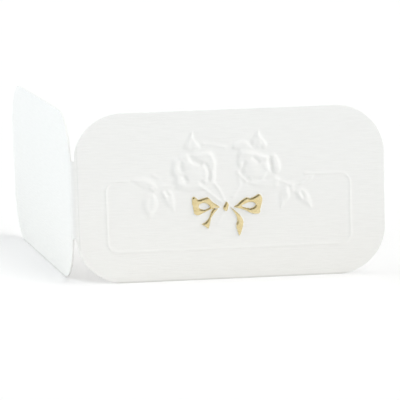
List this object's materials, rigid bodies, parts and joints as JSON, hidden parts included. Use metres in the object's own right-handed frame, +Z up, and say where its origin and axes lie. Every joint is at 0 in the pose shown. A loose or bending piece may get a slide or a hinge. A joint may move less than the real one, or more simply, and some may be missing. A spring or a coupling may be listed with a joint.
{
  "type": "wedding favor tag",
  "caption": "Small folded card tag of heavy felt-marked paper that stands half open, with a pressed rose motif, a thin pressed frame line and a stamped foil bow.",
  "frame": {"origin": "centre of the bounding box's lower face, on the surface that the card stands on", "axes": "+Z up; +X along the front leaf from the fold to its free side; the front leaf's outer face looks along -Y and the back leaf runs back along +Y, leaning a little to -X"},
  "size_m": [0.0646, 0.0548, 0.03],
  "materials": {
    "paper": "matte",
    "foil": "satin"
  },
  "bodies": {
    "root": {"card": "paper", "foil_bow": "foil"}
  },
  "joints": []
}
